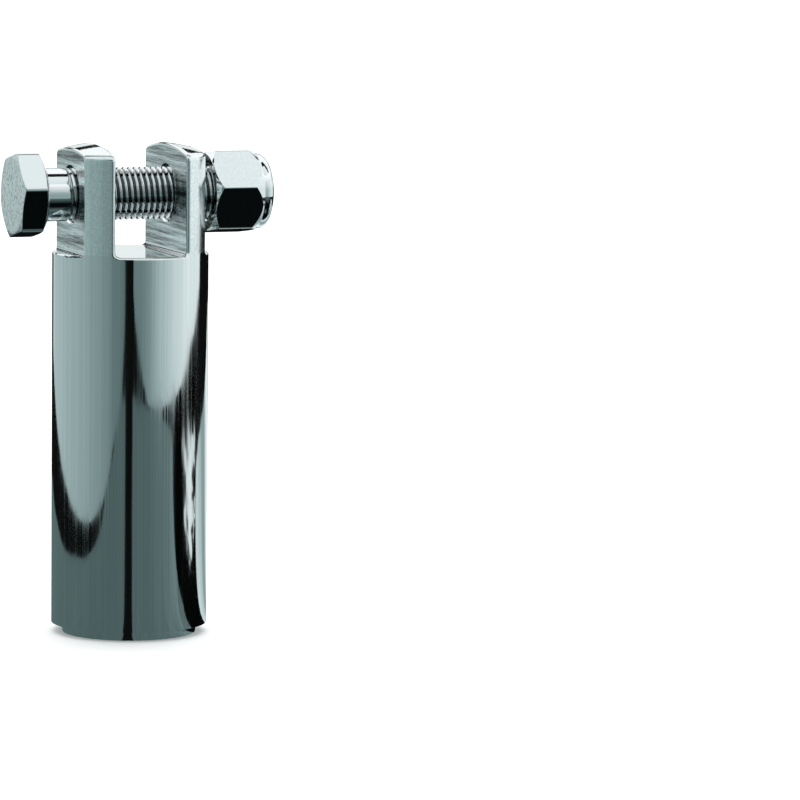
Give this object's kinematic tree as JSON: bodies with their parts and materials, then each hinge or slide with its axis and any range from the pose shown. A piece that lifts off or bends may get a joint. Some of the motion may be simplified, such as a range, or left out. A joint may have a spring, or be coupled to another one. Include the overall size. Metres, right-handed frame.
{
  "type": "foot peg",
  "caption": "Solid round chromed foot peg with a slotted clevis end, held by a hex pivot bolt through its ears and a nylon-insert lock nut.",
  "frame": {"origin": "centre of the barrel's outer end face, the end away from the clevis", "axes": "+Z along the barrel from its outer end towards the clevis, +X along the pivot bolt from its head towards the nut"},
  "size_m": [0.0475, 0.028, 0.0881],
  "materials": {
    "barrel_chrome": "polished chrome plate, satin on the milled faces",
    "bolt_plating": "chrome plated, grainy satin on the head's outer face",
    "nut_plating": "chrome plated, polished",
    "nylon": "off-white nylon"
  },
  "bodies": {
    "barrel": {"peg_barrel": "barrel_chrome"},
    "bolt": {"pivot_bolt": "bolt_plating"},
    "nut_carrier": {"nylon_insert": "nylon"},
    "nut": {"lock_nut_shell": "nut_plating"}
  },
  "joints": [
    {"name": "bolt_turn", "type": "hinge", "parent": "barrel", "child": "bolt", "pos_m": [0, 0, 0.0791], "axis": [1, 0, 0], "continuous": true},
    {"name": "nut_travel", "type": "slide", "parent": "bolt", "child": "nut_carrier", "axis": [1, 0, 0], "range_m": [-0.0026, 0.0105]},
    {"name": "nut_spin", "type": "hinge", "parent": "nut_carrier", "child": "nut", "pos_m": [0, 0, 0.0791], "axis": [1, 0, 0], "range_deg": [-880, 3560]}
  ],
  "couplings": [
    {"joint": "nut_travel", "follows": "nut_spin", "m_per_rad": 0.00016844}
  ]
}
